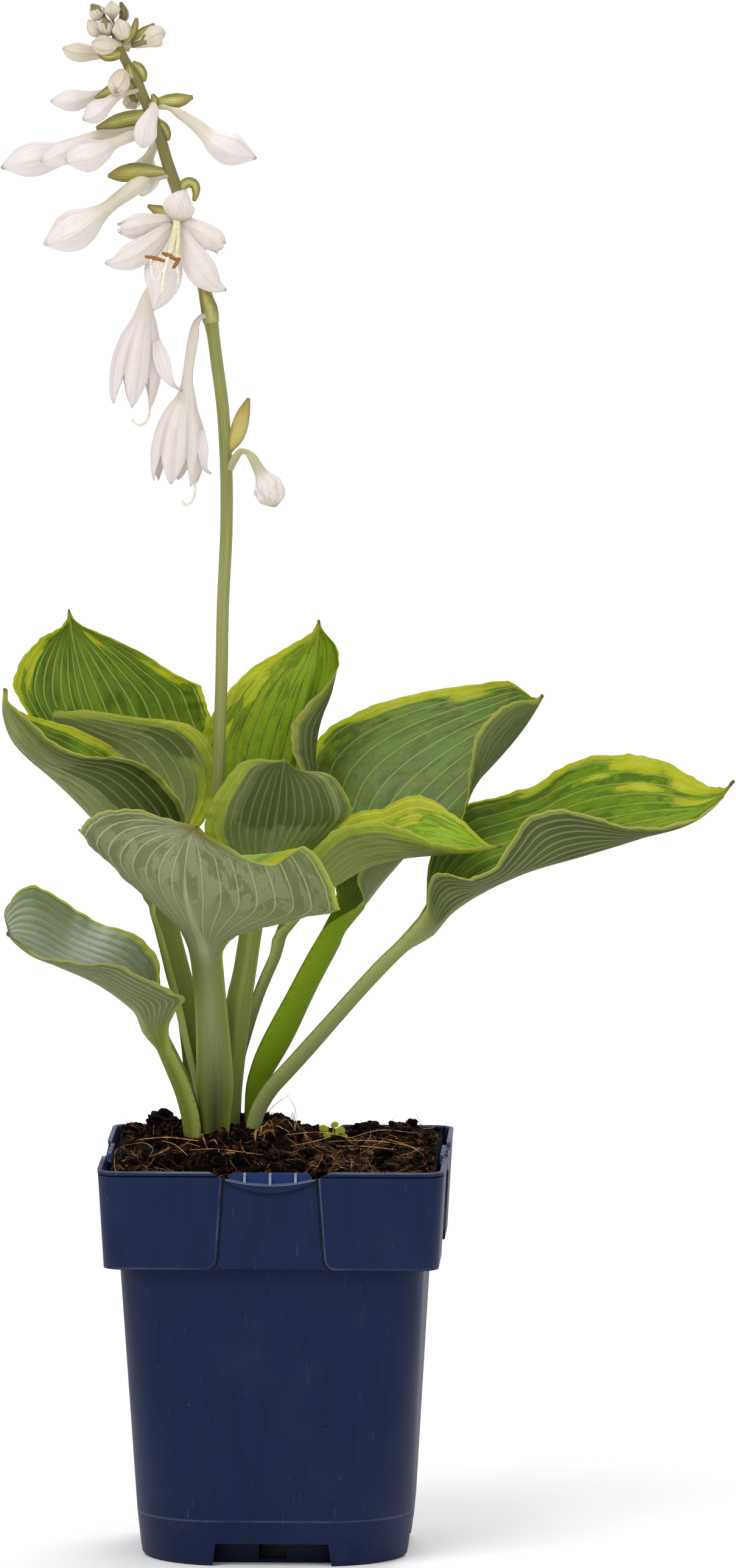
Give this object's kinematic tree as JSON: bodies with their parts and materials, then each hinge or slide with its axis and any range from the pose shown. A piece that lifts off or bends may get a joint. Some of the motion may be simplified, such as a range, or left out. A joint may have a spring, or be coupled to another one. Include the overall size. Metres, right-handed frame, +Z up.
{
  "type": "potted hosta plant",
  "caption": "Flowering plantain lily with broad veined leaves on channelled petioles and a leaning scape of pale buds and bells, rooted in peat soil in a square tapered nursery pot.",
  "frame": {"origin": "middle of the pot's base, on the ground it stands on", "axes": "+Z up, -Y towards the front that is seen, +X to the right of the front"},
  "size_m": [0.3195, 0.1826, 0.6756],
  "materials": {
    "pot_plastic": "fine-grained matt moulded navy-blue plastic",
    "peat_soil": "damp crumbly peat with reddish fibres and straw rootlets",
    "leaf": "satin green with pale parallel veins and chartreuse margins, glaucous beneath",
    "stalk": "smooth satin green, olive towards the top",
    "bud": "satin off-white with faint lilac ribs and brownish tips",
    "petal": "thin satin white with faint lilac veins",
    "withered_petal": "limp wrinkled off-white with brown spots",
    "style": "smooth cream",
    "stamen": "yellow-green filaments with powdery orange-brown anthers"
  },
  "bodies": {
    "root": {"pot": "pot_plastic", "soil": "peat_soil", "leaf_front": "leaf", "leaf_low_left": "leaf", "leaf_centre": "leaf", "leaf_left_front": "leaf", "leaf_left_middle": "leaf", "leaf_left_back": "leaf", "leaf_back": "leaf", "leaf_right_tall": "leaf", "leaf_right_middle": "leaf", "leaf_right_far": "leaf", "weed_seedling": "leaf", "flower_stalk": "stalk", "bud_01": "bud", "bud_02": "bud", "bud_03": "bud", "bud_04": "bud", "bud_05": "bud", "bud_06": "bud", "bud_07": "bud", "bud_08": "bud", "bud_09": "bud", "bud_10": "bud", "bud_11": "bud", "bud_12": "bud", "bud_13": "bud", "bud_14": "bud", "bud_15": "bud", "bud_16": "bud", "bud_17": "bud", "bud_18": "bud", "bud_19": "bud", "bud_20": "bud", "withered_flower": "withered_petal", "flower_left": "petal", "flower_left_style": "style", "flower_lower": "petal", "flower_lower_style": "style", "flower_open": "petal", "flower_open_stamens": "stamen"}
  },
  "joints": []
}
